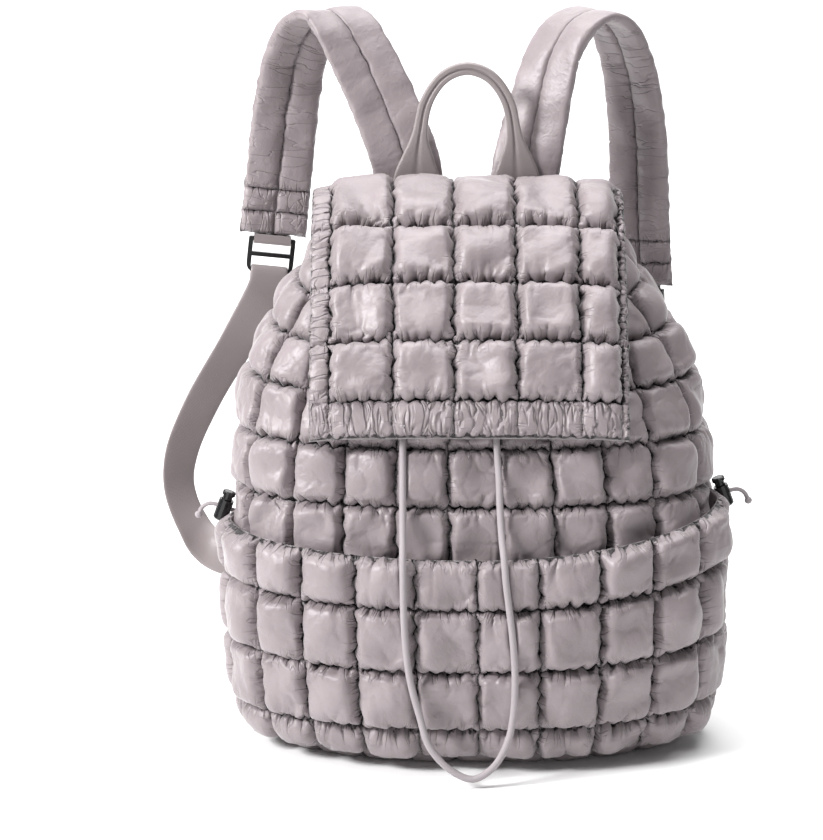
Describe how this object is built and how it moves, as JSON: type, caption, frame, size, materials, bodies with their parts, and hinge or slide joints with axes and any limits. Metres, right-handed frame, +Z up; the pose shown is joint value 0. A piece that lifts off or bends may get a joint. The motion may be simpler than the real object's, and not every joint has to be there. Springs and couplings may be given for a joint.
{
  "type": "quilted puffer backpack",
  "caption": "Quilted padded backpack with a flap over its gathered mouth, a wide front pocket, two padded shoulder straps, a carry handle and a hanging drawstring",
  "frame": {"origin": "middle of the base, on the surface that the bag stands on", "axes": "+Z up, -Y out of the bag's front, +X towards the right of the picture"},
  "size_m": [0.3943, 0.2515, 0.4678],
  "materials": {
    "quilted_nylon": "satin",
    "webbing": "satin",
    "plastic": "gloss",
    "cord": "matt"
  },
  "bodies": {
    "bag": {"body_wall": "quilted_nylon", "base_panel": "quilted_nylon", "front_pocket": "quilted_nylon", "flap": "quilted_nylon", "yoke": "quilted_nylon", "shoulder_strap_left": "quilted_nylon", "shoulder_strap_right": "quilted_nylon", "handle": "webbing", "buckle_loop_left": "webbing", "buckle_loop_right": "webbing", "webbing_left": "webbing", "webbing_right": "webbing", "buckle_left": "plastic", "buckle_right": "plastic", "lock_barrel_left": "plastic", "lock_barrel_right": "plastic", "drawstring": "cord", "pocket_cord_left": "cord", "pocket_cord_right": "cord"},
    "button_left": {"lock_button_left": "plastic"},
    "button_right": {"lock_button_right": "plastic"}
  },
  "joints": [
    {"name": "press_left", "type": "slide", "parent": "bag", "child": "button_left", "axis": [-0.342, 0, -0.9397], "range_m": [0, 0.003], "stiffness_N_per_m": 300, "springref_m": -0.003},
    {"name": "press_right", "type": "slide", "parent": "bag", "child": "button_right", "axis": [0.342, 0, -0.9397], "range_m": [0, 0.003], "stiffness_N_per_m": 300, "springref_m": -0.003}
  ]
}
